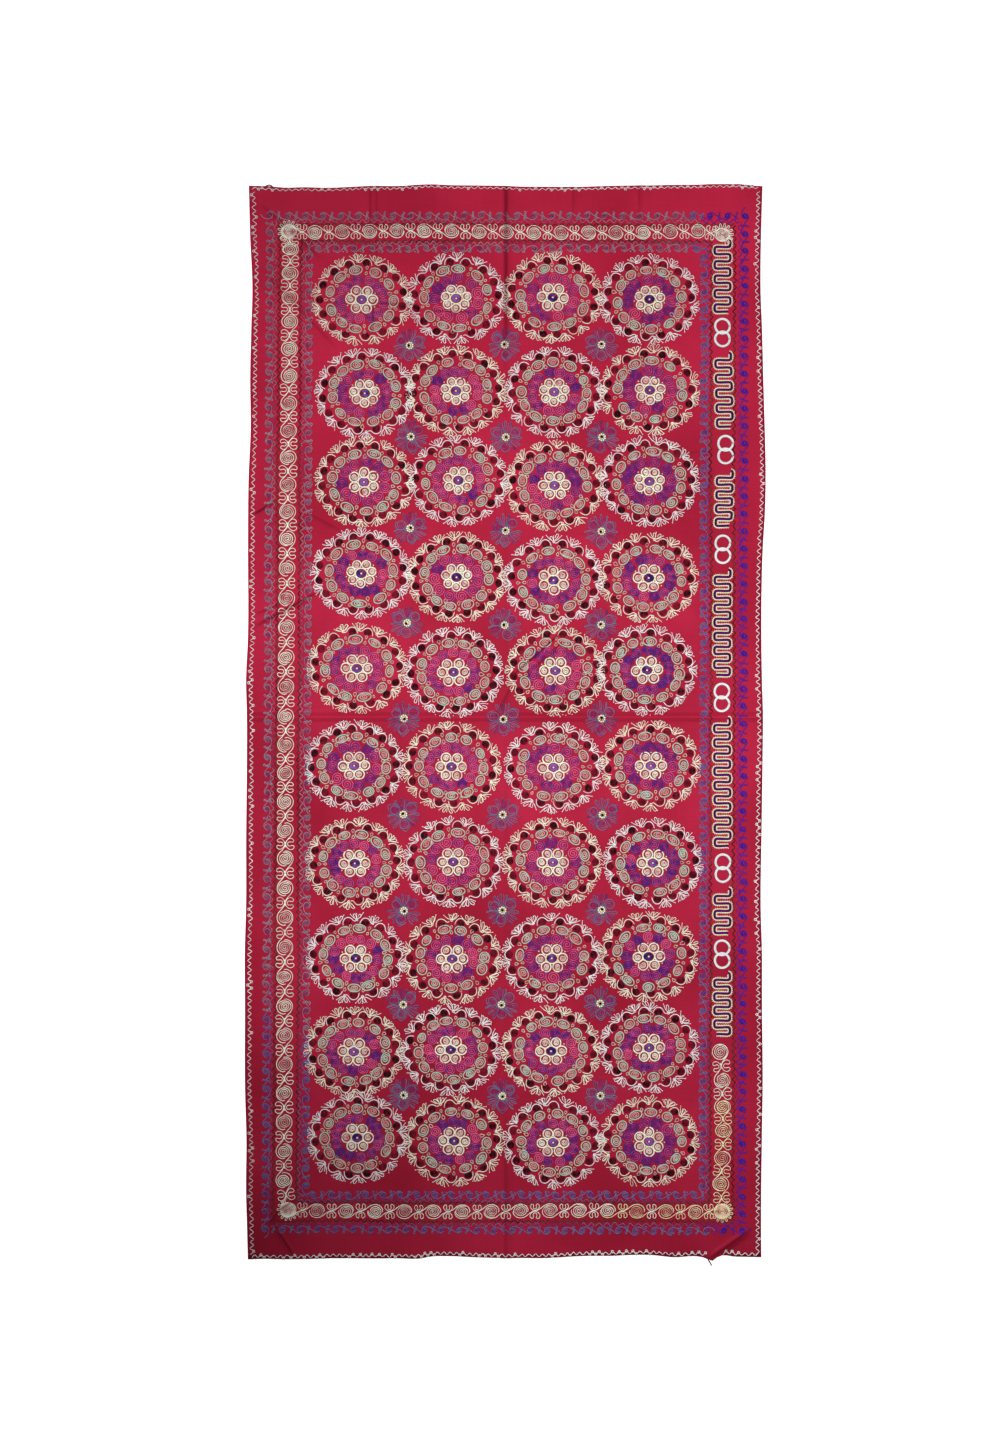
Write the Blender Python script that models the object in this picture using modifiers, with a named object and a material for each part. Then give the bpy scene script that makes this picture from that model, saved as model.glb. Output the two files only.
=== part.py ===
# Suzani: one loom width of cotton sateen with its narrow hem, lying face up after long storage folded.
# Metres, +Z up. The origin is at the middle of the underside, and +Y runs up the cloth's length.
# The sheet follows its fold ridges, so it touches the surface everywhere but under a ridge or a swell.

from collections import namedtuple

import bmesh
import bpy
import numpy as np
from mathutils import Vector

# Driving sizes of the cloth
CLOTH_WIDTH = 1.527       # between the lines that the side insets are measured from
CLOTH_LENGTH = 3.158      # between the lines that the end insets are measured from
CLOTH_THICKNESS = 0.002   # sateen together with the thread on its face
CELLS_ACROSS = 24         # coarse cells of the sheet before the folds are scored
CELLS_ALONG = 50
SNAP = 0.0004             # a point nearer than this to a score line moves on to it
FOLD_LINES = (-1.0, -0.5, 0.0, 0.5, 1.0)   # score lines across a fold, in half widths
FOLD_END = 0.3            # share of a fold's length over which each end dies away

# How far the long edges lie inside the widest lines, up the cloth from its middle
SideRow = namedtuple("SideRow", "up left right")
SIDE_EDGES = (
    SideRow(up=-1.579, left=0.0100, right=0.0130),
    SideRow(up=-1.480, left=0.0075, right=0.0134),
    SideRow(up=-1.386, left=0.0049, right=0.0131),
    SideRow(up=-1.222, left=0.0058, right=0.0109),
    SideRow(up=-1.081, left=0.0019, right=0.0088),
    SideRow(up=-0.823, left=0.0016, right=0.0106),
    SideRow(up=-0.683, left=0.0011, right=0.0108),
    SideRow(up=-0.542, left=0.0047, right=0.0145),
    SideRow(up=-0.331, left=0.0051, right=0.0120),
    SideRow(up=-0.120, left=0.0072, right=0.0090),
    SideRow(up=0.021, left=0.0072, right=0.0079),
    SideRow(up=0.126, left=0.0048, right=0.0108),
    SideRow(up=0.243, left=0.0100, right=0.0125),
    SideRow(up=0.513, left=0.0104, right=0.0082),
    SideRow(up=0.624, left=0.0108, right=0.0018),
    SideRow(up=0.724, left=0.0124, right=0.0000),
    SideRow(up=0.864, left=0.0184, right=0.0026),
    SideRow(up=1.005, left=0.0169, right=0.0068),
    SideRow(up=1.146, left=0.0198, right=0.0103),
    SideRow(up=1.286, left=0.0233, right=0.0151),
    SideRow(up=1.427, left=0.0170, right=0.0137),
    SideRow(up=1.579, left=0.0130, right=0.0095),
)

# How far the hems lie inside the end lines, across the cloth from its middle
EndRow = namedtuple("EndRow", "across top bottom")
END_EDGES = (
    EndRow(across=-0.762, top=0.0050, bottom=0.0080),
    EndRow(across=-0.706, top=0.0062, bottom=0.0095),
    EndRow(across=-0.659, top=0.0104, bottom=0.0084),
    EndRow(across=-0.601, top=0.0093, bottom=0.0087),
    EndRow(across=-0.527, top=0.0108, bottom=0.0109),
    EndRow(across=-0.396, top=0.0054, bottom=0.0108),
    EndRow(across=-0.308, top=0.0054, bottom=0.0108),
    EndRow(across=-0.255, top=0.0016, bottom=0.0100),
    EndRow(across=-0.214, top=0.0009, bottom=0.0169),
    EndRow(across=-0.170, top=0.0030, bottom=0.0177),
    EndRow(across=-0.088, top=0.0041, bottom=0.0143),
    EndRow(across=0.000, top=0.0055, bottom=0.0117),
    EndRow(across=0.050, top=0.0075, bottom=0.0119),
    EndRow(across=0.126, top=0.0079, bottom=0.0119),
    EndRow(across=0.220, top=0.0081, bottom=0.0175),
    EndRow(across=0.308, top=0.0053, bottom=0.0183),
    EndRow(across=0.440, top=0.0036, bottom=0.0207),
    EndRow(across=0.498, top=0.0024, bottom=0.0147),
    EndRow(across=0.594, top=0.0008, bottom=0.0127),
    EndRow(across=0.607, top=0.0000, bottom=0.0076),
    EndRow(across=0.619, top=0.0000, bottom=0.0045),
    EndRow(across=0.632, top=0.0000, bottom=0.0147),
    EndRow(across=0.689, top=0.0000, bottom=0.0158),
    EndRow(across=0.744, top=0.0050, bottom=0.0148),
    EndRow(across=0.762, top=0.0060, bottom=0.0145),
)

# Ridges that the folds left: a straight line on the cloth, how high it stands and how wide it is
Fold = namedtuple("Fold", "name start end rise half_width")
FOLDS = (
    Fold(name="centre crease, upper part",
         start=(0.003, 1.75), end=(0.003, 1.02), rise=0.0032, half_width=0.022),
    Fold(name="centre crease, middle part",
         start=(0.003, 1.10), end=(0.003, -1.25), rise=0.0012, half_width=0.022),
    Fold(name="centre crease, lower part",
         start=(0.003, -1.13), end=(0.003, -1.75), rise=0.0035, half_width=0.022),
    Fold(name="cross crease, upper line",
         start=(-1.40, 0.029), end=(1.40, 0.029), rise=0.0030, half_width=0.0085),
    Fold(name="cross crease, lower line",
         start=(-1.40, 0.012), end=(1.40, 0.012), rise=0.0034, half_width=0.0085),
    Fold(name="pinch by the middle",
         start=(0.022, 0.120), end=(0.200, 0.272), rise=0.0085, half_width=0.014),
    Fold(name="small pinch below it",
         start=(-0.032, 0.012), end=(0.026, 0.122), rise=0.0034, half_width=0.012),
    Fold(name="left edge, long slant",
         start=(-0.742, 0.276), end=(-0.553, 0.388), rise=0.0042, half_width=0.014),
    Fold(name="left edge, upper slant",
         start=(-0.741, 0.608), end=(-0.678, 0.646), rise=0.0034, half_width=0.012),
    Fold(name="upper left, first slant",
         start=(-0.720, 1.525), end=(-0.537, 1.358), rise=0.0046, half_width=0.016),
    Fold(name="upper left, second slant",
         start=(-0.720, 1.340), end=(-0.490, 1.094), rise=0.0040, half_width=0.016),
    Fold(name="small slant left of the third row",
         start=(-0.575, 0.613), end=(-0.482, 0.564), rise=0.0026, half_width=0.012),
    Fold(name="bow above the fourth row, left",
         start=(0.058, 0.440), end=(0.170, 0.464), rise=0.0026, half_width=0.012),
    Fold(name="bow above the fourth row, right",
         start=(0.152, 0.464), end=(0.272, 0.436), rise=0.0026, half_width=0.012),
    Fold(name="quarter crease by the top hem",
         start=(-0.387, 1.68), end=(-0.387, 1.33), rise=0.0024, half_width=0.018),
    Fold(name="pucker in the bottom hem",
         start=(0.590, -1.575), end=(0.728, -1.478), rise=0.0056, half_width=0.016),
    Fold(name="lower left corner, across the band",
         start=(-0.606, -1.390), end=(-0.672, -1.433), rise=0.0034, half_width=0.012),
    Fold(name="lower left corner, turn",
         start=(-0.652, -1.414), end=(-0.692, -1.470), rise=0.0036, half_width=0.012),
    Fold(name="lower left corner, to the hem",
         start=(-0.690, -1.450), end=(-0.612, -1.572), rise=0.0032, half_width=0.012),
)

# Where the pucker in the bottom hem bends sharply, across the cloth from its middle
HEM_SCORES = (0.594, 0.607, 0.619, 0.632)

# Broad swells between the creases, where the stitching draws the ground up a little
Swell = namedtuple("Swell", "across up wide high rise")
SWELLS = (
    Swell(across=-0.36, up=1.22, wide=0.26, high=0.30, rise=0.0030),
    Swell(across=0.42, up=1.30, wide=0.24, high=0.26, rise=0.0022),
    Swell(across=0.17, up=0.30, wide=0.22, high=0.26, rise=0.0036),
    Swell(across=-0.52, up=0.44, wide=0.24, high=0.28, rise=0.0026),
    Swell(across=0.52, up=0.12, wide=0.22, high=0.30, rise=0.0028),
    Swell(across=-0.30, up=-0.42, wide=0.26, high=0.34, rise=0.0020),
    Swell(across=0.50, up=-1.38, wide=0.26, high=0.22, rise=0.0034),
    Swell(across=-0.56, up=-1.36, wide=0.20, high=0.24, rise=0.0026),
)


def through_rows(at, places, values):
    # A smooth curve through the rows of an edge table, level with their mean slope at each row
    places, values = np.array(places), np.array(values)
    slopes = np.gradient(values, places)
    row = int(np.clip(np.searchsorted(places, at) - 1, 0, len(places) - 2))
    step = places[row + 1] - places[row]
    t = min(max((at - places[row]) / step, 0.0), 1.0)
    rise, level = 3 * t**2 - 2 * t**3, t - 2 * t**2 + t**3
    arrive = t**3 - t**2
    curve = values[row] * (1 - rise) + values[row + 1] * rise
    return curve + step * (slopes[row] * level + slopes[row + 1] * arrive)


def side_edges(up):
    places = [row.up for row in SIDE_EDGES]
    left = through_rows(up, places, [row.left for row in SIDE_EDGES])
    right = through_rows(up, places, [row.right for row in SIDE_EDGES])
    return max(left, 0.0) - CLOTH_WIDTH / 2, CLOTH_WIDTH / 2 - max(right, 0.0)


def end_edges(across):
    places = [row.across for row in END_EDGES]
    bottom = through_rows(across, places, [row.bottom for row in END_EDGES])
    top = through_rows(across, places, [row.top for row in END_EDGES])
    return max(bottom, 0.0) - CLOTH_LENGTH / 2, CLOTH_LENGTH / 2 - max(top, 0.0)


def soft_step(t):
    t = min(max(t, 0.0), 1.0)
    return t * t * (3 - 2 * t)


def fold_axes(fold):
    start, end = Vector(fold.start), Vector(fold.end)
    along = (end - start).normalized()
    return start, along, Vector((-along.y, along.x)), (end - start).length


def fold_height(fold, across, up):
    # A ridge with a soft crest and feet, dying away towards both ends
    start, along, side, length = fold_axes(fold)
    offset = Vector((across, up)) - start
    share = offset.dot(along) / length
    crest = soft_step(1 - abs(offset.dot(side)) / fold.half_width)
    fade = soft_step(min(share, 1 - share) / FOLD_END)
    return fold.rise * crest * fade


def swell_height(swell, across, up):
    reach = ((across - swell.across) / swell.wide)**2 + ((up - swell.up) / swell.high)**2
    return swell.rise * soft_step(1 - reach**0.5)


def relief(across, up):
    folds = max(fold_height(fold, across, up) for fold in FOLDS)
    swells = sum(swell_height(swell, across, up) for swell in SWELLS)
    return folds + swells


def score_fold(sheet, fold):
    # Cuts the cells that a fold crosses along its crest, flanks and feet
    start, along, side, length = fold_axes(fold)
    cell = CLOTH_WIDTH / CELLS_ACROSS
    for line in FOLD_LINES:
        through = start + side * (line * fold.half_width)
        near = []
        for face in sheet.faces:
            offset = face.calc_center_median().xy - start
            run = offset.dot(along)
            if -cell / 2 < run < length + cell / 2 and abs(offset.dot(side)) < fold.half_width + cell:
                near.append(face)
        edges = {edge for face in near for edge in face.edges}
        points = {point for face in near for point in face.verts}
        bmesh.ops.bisect_plane(
            sheet, geom=[*near, *edges, *points], dist=SNAP,
            plane_co=through.to_3d(), plane_no=side.to_3d())


def score_hem(sheet, across):
    # Cuts the lowest cells upright, so that the hem can follow its pucker
    cell = CLOTH_LENGTH / CELLS_ALONG
    near = [face for face in sheet.faces if face.calc_center_median().y < cell - CLOTH_LENGTH / 2]
    edges = {edge for face in near for edge in face.edges}
    points = {point for face in near for point in face.verts}
    bmesh.ops.bisect_plane(
        sheet, geom=[*near, *edges, *points], dist=SNAP,
        plane_co=Vector((across, 0, 0)), plane_no=Vector((1, 0, 0)))


def move_to_outline(sheet):
    # The flat grid's own edges go to the true edges, and the rest follows in proportion
    for point in sheet.verts:
        across, up = point.co.x, point.co.y
        left, right = side_edges(up)
        bottom, top = end_edges(across)
        point.co.x = left + (right - left) * (across / CLOTH_WIDTH + 0.5)
        point.co.y = bottom + (top - bottom) * (up / CLOTH_LENGTH + 0.5)


def make_cloth_mesh():
    sheet = bmesh.new()
    bmesh.ops.create_grid(sheet, x_segments=CELLS_ACROSS, y_segments=CELLS_ALONG, size=0.5)
    for point in sheet.verts:
        point.co.x *= CLOTH_WIDTH
        point.co.y *= CLOTH_LENGTH
    for across in HEM_SCORES:
        score_hem(sheet, across)
    move_to_outline(sheet)
    for fold in FOLDS:
        score_fold(sheet, fold)
    bmesh.ops.triangulate(sheet, faces=sheet.faces[:])
    for point in sheet.verts:
        point.co.z = relief(point.co.x, point.co.y)
    mesh = bpy.data.meshes.new("cloth")
    sheet.to_mesh(mesh)
    sheet.free()
    return mesh


def sateen_material():
    material = bpy.data.materials.new("crimson sateen")
    material.use_nodes = True
    shader = material.node_tree.nodes["Principled BSDF"]
    shader.inputs["Base Color"].default_value = (0.46, 0.033, 0.075, 1)
    shader.inputs["Roughness"].default_value = 0.62
    shader.inputs["Metallic"].default_value = 0.0
    material.diffuse_color = (0.46, 0.033, 0.075, 1)
    return material


def make_cloth(collection):
    mesh = make_cloth_mesh()
    mesh.materials.append(sateen_material())
    mesh.shade_smooth()
    cloth = bpy.data.objects.new("cloth", mesh)
    collection.objects.link(cloth)
    thickness = cloth.modifiers.new("cloth thickness", "SOLIDIFY")
    thickness.thickness = CLOTH_THICKNESS
    thickness.offset = 1   # the modelled sheet is the underside, so its flat parts lie at zero
    return cloth


def main():
    for old in list(bpy.data.objects):
        bpy.data.objects.remove(old)
    collection = bpy.data.collections.new("suzani")
    bpy.context.scene.collection.children.link(collection)
    make_cloth(collection)


main()
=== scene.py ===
import math

import bmesh
import bpy
import numpy as np
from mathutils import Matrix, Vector
from mathutils.bvhtree import BVHTree


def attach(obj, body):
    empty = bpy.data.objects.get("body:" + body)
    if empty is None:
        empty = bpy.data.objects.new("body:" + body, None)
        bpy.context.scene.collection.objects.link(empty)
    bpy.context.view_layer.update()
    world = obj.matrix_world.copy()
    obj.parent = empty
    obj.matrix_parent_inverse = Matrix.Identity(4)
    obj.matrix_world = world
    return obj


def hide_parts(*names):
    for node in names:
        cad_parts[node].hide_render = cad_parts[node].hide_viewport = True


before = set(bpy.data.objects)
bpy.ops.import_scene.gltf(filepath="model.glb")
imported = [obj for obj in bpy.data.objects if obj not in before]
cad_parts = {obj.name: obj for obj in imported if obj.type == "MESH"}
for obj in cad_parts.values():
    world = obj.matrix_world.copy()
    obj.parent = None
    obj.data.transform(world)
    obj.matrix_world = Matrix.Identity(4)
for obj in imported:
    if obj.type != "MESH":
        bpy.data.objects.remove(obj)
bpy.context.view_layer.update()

# Suzani spread face up: crimson sateen worked all over in chain stitch.
# Places and sizes are in millimetres from the middle of the cloth, x to the right and y up its length.

mm = 0.001
hand = np.random.default_rng(318)   # every hand wobble comes from this one seeded source


# The cloth's outline, its old folds and its swells

cloth = {
    "width": 1527.0,       # between the lines that the long edges' insets are measured from
    "length": 3158.0,
    "thickness": 1.0,
    "cell": 14.5,          # spacing of the sheet's points on flat ground
    "pucker": 0.35,        # height of the small puckers that the stitching draws up
    "flatSize": (1.50, 3.15),
}

sideRows = [   # how far the long edges lie inside the widest lines
    {"up": -1579, "left": 10.0, "right": 13.0},
    {"up": -1480, "left": 7.5, "right": 13.4},
    {"up": -1386, "left": 4.9, "right": 13.1},
    {"up": -1222, "left": 5.8, "right": 10.9},
    {"up": -1081, "left": 1.9, "right": 8.8},
    {"up": -823, "left": 1.6, "right": 10.6},
    {"up": -683, "left": 1.1, "right": 10.8},
    {"up": -542, "left": 4.7, "right": 14.5},
    {"up": -331, "left": 5.1, "right": 12.0},
    {"up": -120, "left": 7.2, "right": 9.0},
    {"up": 21, "left": 7.2, "right": 7.9},
    {"up": 126, "left": 4.8, "right": 10.8},
    {"up": 243, "left": 10.0, "right": 12.5},
    {"up": 513, "left": 10.4, "right": 8.2},
    {"up": 624, "left": 10.8, "right": 1.8},
    {"up": 724, "left": 12.4, "right": 0.0},
    {"up": 864, "left": 18.4, "right": 2.6},
    {"up": 1005, "left": 16.9, "right": 6.8},
    {"up": 1146, "left": 19.8, "right": 10.3},
    {"up": 1286, "left": 23.3, "right": 15.1},
    {"up": 1427, "left": 17.0, "right": 13.7},
    {"up": 1579, "left": 13.0, "right": 9.5},
]

endRows = [   # how far the hems lie inside the end lines
    {"across": -762, "top": 5.0, "bottom": 8.0},
    {"across": -706, "top": 6.2, "bottom": 9.5},
    {"across": -659, "top": 10.4, "bottom": 8.4},
    {"across": -601, "top": 9.3, "bottom": 8.7},
    {"across": -527, "top": 10.8, "bottom": 10.9},
    {"across": -396, "top": 5.4, "bottom": 10.8},
    {"across": -308, "top": 5.4, "bottom": 10.8},
    {"across": -255, "top": 1.6, "bottom": 10.0},
    {"across": -214, "top": 0.9, "bottom": 16.9},
    {"across": -170, "top": 3.0, "bottom": 17.7},
    {"across": -88, "top": 4.1, "bottom": 14.3},
    {"across": 0, "top": 5.5, "bottom": 11.7},
    {"across": 50, "top": 7.5, "bottom": 11.9},
    {"across": 126, "top": 7.9, "bottom": 11.9},
    {"across": 220, "top": 8.1, "bottom": 17.5},
    {"across": 308, "top": 5.3, "bottom": 18.3},
    {"across": 440, "top": 3.6, "bottom": 20.7},
    {"across": 498, "top": 2.4, "bottom": 14.7},
    {"across": 594, "top": 0.8, "bottom": 12.7},
    {"across": 607, "top": 0.0, "bottom": 7.6},
    {"across": 619, "top": 0.0, "bottom": 4.5},
    {"across": 632, "top": 0.0, "bottom": 14.7},
    {"across": 689, "top": 0.0, "bottom": 15.8},
    {"across": 744, "top": 5.0, "bottom": 14.8},
    {"across": 762, "top": 6.0, "bottom": 14.5},
]
hemScores = (594, 607, 619, 632)   # where the pucker in the bottom hem bends sharply

# The ridges of the cloth's solid, and finer creases beside them. groove is how deep the crest is
# pressed in, as a share of the ridge, and dark is how much painted shade, with some dirt, lies along the
# crease.
folds = [
    {"start": (3, 1750), "end": (3, 1020), "rise": 3.2, "half": 22, "groove": 0.6, "dark": 0.75},
    {"start": (3, 1100), "end": (3, -1250), "rise": 1.2, "half": 22, "groove": 0.3, "dark": 0.10},
    {"start": (3, -1130), "end": (3, -1750), "rise": 3.5, "half": 22, "groove": 0.5, "dark": 0.35},
    {"start": (-1400, 29), "end": (1400, 29), "rise": 3.0, "half": 8.5, "groove": 0.4, "dark": 0.28},
    {"start": (-1400, 12), "end": (1400, 12), "rise": 3.4, "half": 8.5, "groove": 0.4, "dark": 0.38},
    {"start": (22, 120), "end": (200, 272), "rise": 8.5, "half": 14, "groove": 0.1, "dark": 0.0},
    # A narrow crease beside the pinch above, carrying the pinch's painted shadow
    {"start": (14, 132), "end": (186, 284), "rise": 2.0, "half": 9, "groove": 0.9, "dark": 1.0},
    {"start": (-32, 12), "end": (26, 122), "rise": 3.4, "half": 12, "groove": 0.3, "dark": 0.5},
    {"start": (-742, 278), "end": (-530, 393), "rise": 4.4, "half": 15, "groove": 0.3, "dark": 0.8},
    {"start": (-738, 316), "end": (-640, 356), "rise": 2.4, "half": 10, "groove": 0.3, "dark": 0.55},
    {"start": (-741, 608), "end": (-672, 650), "rise": 3.4, "half": 12, "groove": 0.3, "dark": 0.9},
    {"start": (-720, 1525), "end": (-537, 1358), "rise": 4.6, "half": 16, "groove": 0.2, "dark": 0.5},
    {"start": (-720, 1340), "end": (-490, 1094), "rise": 4.0, "half": 16, "groove": 0.2, "dark": 0.4},
    {"start": (-575, 613), "end": (-482, 564), "rise": 2.6, "half": 12, "groove": 0.3, "dark": 0.4},
    {"start": (58, 440), "end": (170, 464), "rise": 2.6, "half": 12, "groove": 0.3, "dark": 0.45},
    {"start": (152, 464), "end": (272, 436), "rise": 2.6, "half": 12, "groove": 0.3, "dark": 0.45},
    {"start": (45, 1192), "end": (205, 1175), "rise": 1.6, "half": 10, "groove": 0.3, "dark": 0.3},
    {"start": (490, 413), "end": (615, 413), "rise": 1.6, "half": 10, "groove": 0.3, "dark": 0.3},
    {"start": (500, 794), "end": (615, 794), "rise": 1.8, "half": 10, "groove": 0.3, "dark": 0.3},
    {"start": (-395, 1680), "end": (-395, 1330), "rise": 2.4, "half": 9, "groove": 0.3, "dark": 0.45},
    {"start": (-377, 1680), "end": (-377, 1330), "rise": 2.2, "half": 9, "groove": 0.3, "dark": 0.35},
    {"start": (-390, 1229), "end": (-250, 1227), "rise": 1.8, "half": 9, "groove": 0.3, "dark": 0.8},
    {"start": (-386, 1250), "end": (-388, 1130), "rise": 1.8, "half": 9, "groove": 0.3, "dark": 0.7},
    {"start": (-245, 1207), "end": (-85, 1203), "rise": 1.8, "half": 9, "groove": 0.3, "dark": 0.8},
    {"start": (199, 1640), "end": (199, 1480), "rise": 1.6, "half": 12, "groove": 0.3, "dark": 0.3},
    {"start": (393, 1640), "end": (393, 1470), "rise": 1.6, "half": 12, "groove": 0.3, "dark": 0.3},
    {"start": (200, 554), "end": (350, 554), "rise": 1.2, "half": 12, "groove": 0.3, "dark": 0.2},
    {"start": (590, -1575), "end": (728, -1478), "rise": 5.6, "half": 16, "groove": 0.3, "dark": 0.8},
    {"start": (-606, -1390), "end": (-672, -1433), "rise": 3.4, "half": 12, "groove": 0.6, "dark": 1.0},
    {"start": (-652, -1414), "end": (-692, -1470), "rise": 3.6, "half": 12, "groove": 0.6, "dark": 1.0},
    {"start": (-690, -1450), "end": (-612, -1572), "rise": 3.2, "half": 12, "groove": 0.6, "dark": 1.0},
]
foldEnd = 0.3        # share of a fold's length over which each end dies away
creaseHalf = 0.42    # share of a fold's half width over which its painted shade and dirt lie
foldLines = (-1, -0.7, -0.45, -0.25, -0.1, 0, 0.1, 0.25, 0.45, 0.7, 1)   # where the sheet bends across a fold

swells = [
    {"across": -360, "up": 1220, "wide": 260, "high": 300, "rise": 3.0},
    {"across": 420, "up": 1300, "wide": 240, "high": 260, "rise": 2.2},
    {"across": 170, "up": 300, "wide": 220, "high": 260, "rise": 3.6},
    {"across": -520, "up": 440, "wide": 240, "high": 280, "rise": 2.6},
    {"across": 520, "up": 120, "wide": 220, "high": 300, "rise": 2.8},
    {"across": -300, "up": -420, "wide": 260, "high": 340, "rise": 2.0},
    {"across": 500, "up": -1380, "wide": 260, "high": 220, "rise": 3.4},
    {"across": -560, "up": -1360, "wide": 200, "high": 240, "rise": 2.6},
]


def softStep(t):
    t = np.clip(t, 0, 1)
    return t * t * (3 - 2 * t)


def throughRows(at, rows, place, value):
    # A smooth curve through the rows of an edge table
    places = np.array([row[place] for row in rows], float)
    values = np.array([row[value] for row in rows], float)
    slopes = np.gradient(values, places)
    at = np.clip(at, places[0], places[-1])
    row = np.clip(np.searchsorted(places, at) - 1, 0, len(places) - 2)
    step = places[row + 1] - places[row]
    t = (at - places[row]) / step
    curve = values[row] + (values[row + 1] - values[row]) * (3 * t**2 - 2 * t**3)
    curve += step * slopes[row] * (t - 2 * t**2 + t**3)
    curve += step * slopes[row + 1] * (t**3 - t**2)
    return np.maximum(curve, 0)


def edgesAt(x, y):
    # Left, right, bottom and top edge of the cloth beside a point
    halfWide, halfLong = cloth["width"] / 2, cloth["length"] / 2
    left = throughRows(y, sideRows, "up", "left") - halfWide
    right = halfWide - throughRows(y, sideRows, "up", "right")
    bottom = throughRows(x, endRows, "across", "bottom") - halfLong
    top = halfLong - throughRows(x, endRows, "across", "top")
    return left, right, bottom, top


def acrossFold(fold, x, y):
    # How far a point lies from the fold's line, as a share of its half width, and how alive the fold is there
    start, end = np.array(fold["start"], float), np.array(fold["end"], float)
    length = np.hypot(*(end - start))
    along = (end - start) / length
    share = ((x - start[0]) * along[0] + (y - start[1]) * along[1]) / length
    away = np.abs((y - start[1]) * along[0] - (x - start[0]) * along[1]) / fold["half"]
    return away, softStep(np.minimum(share, 1 - share) / foldEnd)


def relief(x, y):
    # How high the underside lies over the surface
    ridge = np.zeros(len(x))
    for fold in folds:
        away, fade = acrossFold(fold, x, y)
        crest = softStep(1 - away) - fold["groove"] * softStep(1 - away / 0.45)
        ridge = np.maximum(ridge, fold["rise"] * crest * fade)
    for swell in swells:
        reach = np.hypot((x - swell["across"]) / swell["wide"], (y - swell["up"]) / swell["high"])
        ridge = ridge + swell["rise"] * softStep(1 - reach)
    ripple = np.sin(x / 23 + 1.3 * np.sin(y / 61)) * np.sin(y / 29 + 1.1 * np.sin(x / 47))
    return ridge + cloth["pucker"] * (1 + ripple)


def creaseShadeAndDirt(x, y):
    # How dark the cloth and its stitches are painted along the sharp folds, 0 to 1: painted shade, with some
    # dirt
    paintedShadeAndDirt = np.zeros(len(x))
    for fold in folds:
        away, fade = acrossFold(fold, x, y)
        paintedShadeAndDirt = np.maximum(paintedShadeAndDirt, fold["dark"] * np.clip(1.15 - away / creaseHalf, 0, 1) * np.sqrt(fade))
    return paintedShadeAndDirt


def cutSheet(sheet, place, across, near):
    # One straight cut through the cells near it
    edges = {edge for face in near for edge in face.edges}
    points = {point for face in near for point in face.verts}
    cut = bmesh.ops.bisect_plane(sheet, geom=[*near, *edges, *points], dist=0.4,
                                 plane_co=place, plane_no=across)
    return [item for item in cut["geom"] if isinstance(item, bmesh.types.BMFace)]


def scoreFold(sheet, fold):
    start, end = Vector((*fold["start"], 0)), Vector((*fold["end"], 0))
    along = (end - start).normalized()
    side = Vector((-along.y, along.x, 0))
    reach = fold["half"] + cloth["cell"]
    near = []
    for face in sheet.faces:
        offset = face.calc_center_median() - start
        if abs(offset.dot(side)) < reach and -reach < offset.dot(along) < (end - start).length + reach:
            near.append(face)
    for line in foldLines:
        near = cutSheet(sheet, start + side * (line * fold["half"]), side, near)


def makeSheet():
    # A flat grid, moved to the true outline, cut along every fold and then raised to its relief
    sheet = bmesh.new()
    across, along = round(cloth["width"] / cloth["cell"]), round(cloth["length"] / cloth["cell"])
    bmesh.ops.create_grid(sheet, x_segments=across, y_segments=along, size=0.5)
    for point in sheet.verts:
        point.co.x *= cloth["width"]
        point.co.y *= cloth["length"]
    for place in hemScores:
        hemCells = [face for face in sheet.faces
                    if face.calc_center_median().y < cloth["cell"] - cloth["length"] / 2]
        cutSheet(sheet, Vector((place, 0, 0)), Vector((1, 0, 0)), hemCells)
    flat = np.array([point.co for point in sheet.verts])
    left, right, bottom, top = edgesAt(flat[:, 0], flat[:, 1])
    movedX = left + (right - left) * (flat[:, 0] / cloth["width"] + 0.5)
    movedY = bottom + (top - bottom) * (flat[:, 1] / cloth["length"] + 0.5)
    for point, x, y in zip(sheet.verts, movedX, movedY):
        point.co = (x, y, 0)
    for fold in folds:
        scoreFold(sheet, fold)
    bmesh.ops.triangulate(sheet, faces=sheet.faces[:])
    flat = np.array([point.co for point in sheet.verts])
    for point, height in zip(sheet.verts, relief(flat[:, 0], flat[:, 1])):
        point.co.z = height
    return sheet


sheet = makeSheet()
sheetTree = BVHTree.FromBMesh(sheet)
down = Vector((0, 0, -1))


def heightAt(points):
    # The height of the sheet under each point; off the cloth it is the floor, one thickness lower
    heights = np.zeros(len(points))
    for index, (x, y) in enumerate(points[:, :2]):
        hit = sheetTree.ray_cast(Vector((x, y, 100)), down)[0]
        heights[index] = hit.z if hit else -cloth["thickness"]
    return heights


# Helpers that turn points and faces into a piece

def bakeMap(mesh):
    # A flat map from above, one for each piece, so that neighbours in it are neighbours on the cloth
    places = np.zeros(len(mesh.vertices) * 3, np.float32)
    mesh.vertices.foreach_get("co", places)
    places = places.reshape(-1, 3)[:, :2] / (cloth["width"] * mm, cloth["length"] * mm) + 0.5
    corners = np.zeros(len(mesh.loops), np.int32)
    mesh.loops.foreach_get("vertex_index", corners)
    layer = mesh.uv_layers.new(name="OFBake")
    layer.data.foreach_set("uv", (places[corners] * 0.98 + 0.01).astype(np.float32).ravel())


def pointValue(mesh, name, values):
    layer = mesh.attributes.new(name, "FLOAT", "POINT")
    layer.data.foreach_set("value", values.astype(np.float32))


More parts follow.
